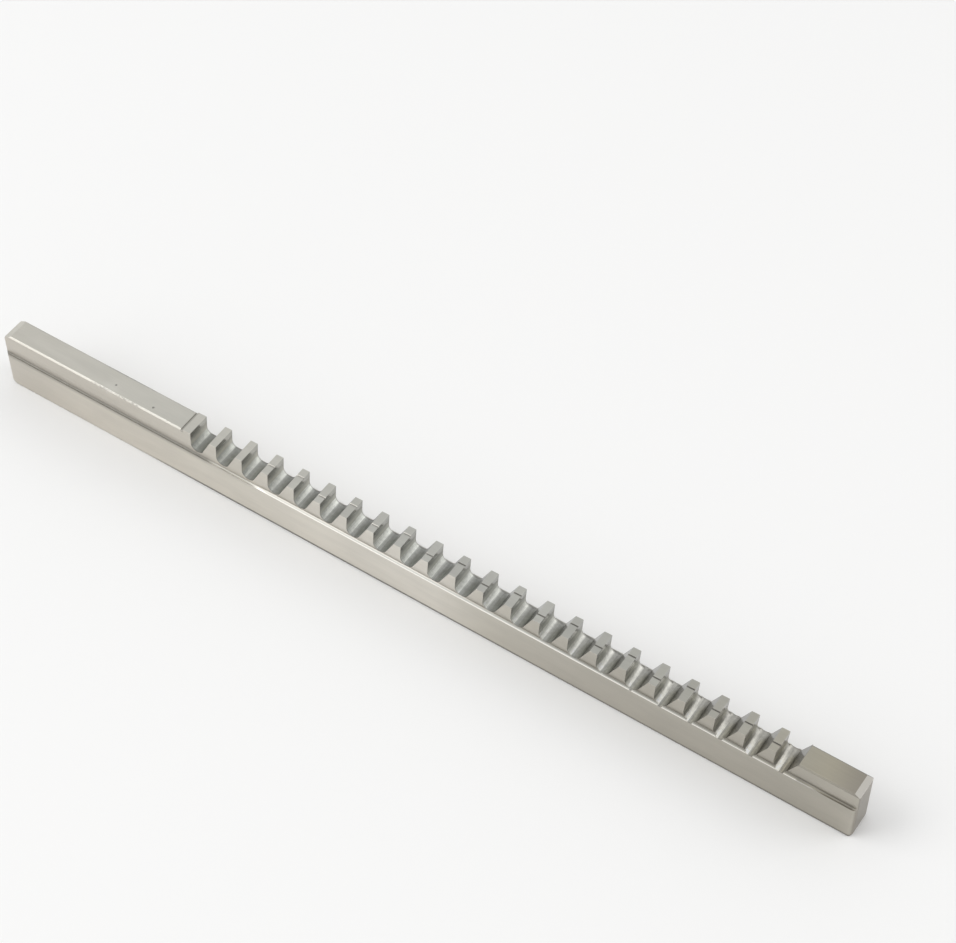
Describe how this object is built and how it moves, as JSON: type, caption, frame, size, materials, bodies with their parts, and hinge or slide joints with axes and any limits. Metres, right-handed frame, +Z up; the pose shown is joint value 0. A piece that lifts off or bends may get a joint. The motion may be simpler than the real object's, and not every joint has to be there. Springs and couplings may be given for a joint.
{
  "type": "keyway broach",
  "caption": "Push-type keyway broach: a long steel bar with a ledged body, a plain shank, a row of rising cutting teeth with chip breakers and a short front guide.",
  "frame": {"origin": "middle of the back face, on the surface that the bar lies on", "axes": "+X along the bar towards the front guide that enters the work first, +Y across the bar, +Z up from the back through the teeth"},
  "size_m": [0.2986, 0.0096, 0.0216],
  "materials": {
    "tool_steel": "satin ground high-speed steel, with rougher cross-ground gullets"
  },
  "bodies": {
    "root": {"keyway_broach": "tool_steel"}
  },
  "joints": []
}
